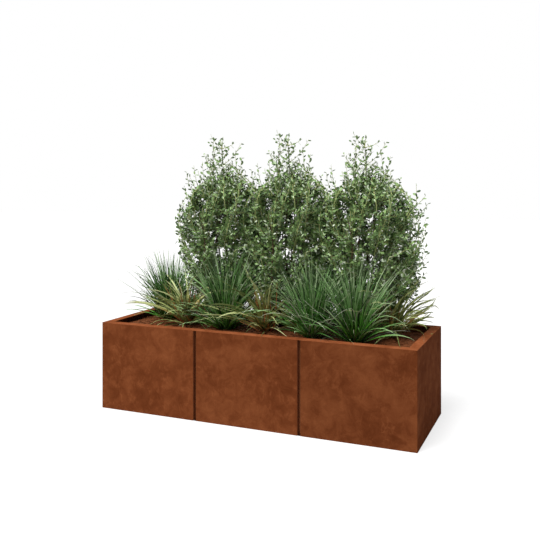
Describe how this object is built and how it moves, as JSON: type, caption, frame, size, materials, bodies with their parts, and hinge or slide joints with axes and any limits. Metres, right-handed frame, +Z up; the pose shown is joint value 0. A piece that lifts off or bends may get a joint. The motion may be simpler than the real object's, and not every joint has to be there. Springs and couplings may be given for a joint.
{
  "type": "planter box",
  "caption": "Long weathering-steel planter trough in bolted modules with recessed joints, a flat rim, drained floor and levelling feet, filled and planted with shrubs and grasses.",
  "frame": {"origin": "middle of the base at ground level, on the underside of the middle rail", "axes": "+X along the trough's length, to the right as seen from the front, which is the long side in the picture; +Y to the back; +Z up"},
  "size_m": [2.22, 0.8799, 1.93],
  "materials": {
    "corten_wall": "matte, even brown rust patina with soft mottling",
    "corten_rim": "matte, lighter orange-brown rust patina, a little rubbed",
    "corten_inside": "matte, dark damp rust",
    "zinc_steel": "dull zinc plating",
    "drain_plastic": "moulded, matte",
    "expanded_clay": "porous pellets",
    "filter_fleece": "felted, off-white",
    "planting_soil": "loose dark planting mix",
    "bark_mulch": "loose reddish-brown bark chips",
    "shrub_foliage": "small dark green leaves on thin reddish-brown twigs",
    "tussock_blades": "fine upright green blades",
    "sedge_blades": "arching olive blades with orange-brown midribs"
  },
  "bodies": {
    "trough": {"front_panel_left": "corten_wall", "front_panel_middle": "corten_wall", "front_panel_right": "corten_wall", "back_panel_left": "corten_wall", "back_panel_middle": "corten_wall", "back_panel_right": "corten_wall", "end_panel_left": "corten_wall", "end_panel_right": "corten_wall", "rim_front": "corten_rim", "rim_back": "corten_rim", "rim_left": "corten_rim", "rim_right": "corten_rim", "joint_channel_front_left": "corten_inside", "joint_channel_front_right": "corten_inside", "joint_channel_back_left": "corten_inside", "joint_channel_back_right": "corten_inside", "corner_post_front_left": "corten_inside", "corner_post_front_right": "corten_inside", "corner_post_back_left": "corten_inside", "corner_post_back_right": "corten_inside", "cross_tie_left": "corten_inside", "cross_tie_right": "corten_inside", "rail_left": "corten_inside", "rail_middle": "corten_inside", "rail_right": "corten_inside", "bearer_left": "corten_inside", "bearer_right": "corten_inside", "foot_nuts": "zinc_steel", "floor_tray_left": "corten_inside", "floor_tray_middle": "corten_inside", "floor_tray_right": "corten_inside", "drain_left": "drain_plastic", "drain_middle": "drain_plastic", "drain_right": "drain_plastic", "drain_strainers": "drain_plastic", "frame_studs": "zinc_steel", "rim_studs": "zinc_steel", "drainage_layer": "expanded_clay", "filter_fleece": "filter_fleece", "substrate": "planting_soil", "mulch": "bark_mulch", "shrub_left": "shrub_foliage", "shrub_middle": "shrub_foliage", "shrub_right": "shrub_foliage", "tussock_1": "tussock_blades", "tussock_2": "tussock_blades", "tussock_3": "tussock_blades", "tussock_4": "tussock_blades", "sedge_1": "sedge_blades", "sedge_2": "sedge_blades", "sedge_3": "sedge_blades"},
    "levelling_foot_front_left": {"foot_front_left": "zinc_steel"},
    "levelling_foot_front_middle": {"foot_front_middle": "zinc_steel"},
    "levelling_foot_front_right": {"foot_front_right": "zinc_steel"},
    "levelling_foot_back_left": {"foot_back_left": "zinc_steel"},
    "levelling_foot_back_middle": {"foot_back_middle": "zinc_steel"},
    "levelling_foot_back_right": {"foot_back_right": "zinc_steel"}
  },
  "joints": [
    {"name": "wind_out_foot_front_left", "type": "slide", "parent": "trough", "child": "levelling_foot_front_left", "axis": [0, 0, -1], "range_m": [0, 0.018]},
    {"name": "wind_out_foot_front_middle", "type": "slide", "parent": "trough", "child": "levelling_foot_front_middle", "axis": [0, 0, -1], "range_m": [0, 0.018]},
    {"name": "wind_out_foot_front_right", "type": "slide", "parent": "trough", "child": "levelling_foot_front_right", "axis": [0, 0, -1], "range_m": [0, 0.018]},
    {"name": "wind_out_foot_back_left", "type": "slide", "parent": "trough", "child": "levelling_foot_back_left", "axis": [0, 0, -1], "range_m": [0, 0.018]},
    {"name": "wind_out_foot_back_middle", "type": "slide", "parent": "trough", "child": "levelling_foot_back_middle", "axis": [0, 0, -1], "range_m": [0, 0.018]},
    {"name": "wind_out_foot_back_right", "type": "slide", "parent": "trough", "child": "levelling_foot_back_right", "axis": [0, 0, -1], "range_m": [0, 0.018]}
  ]
}
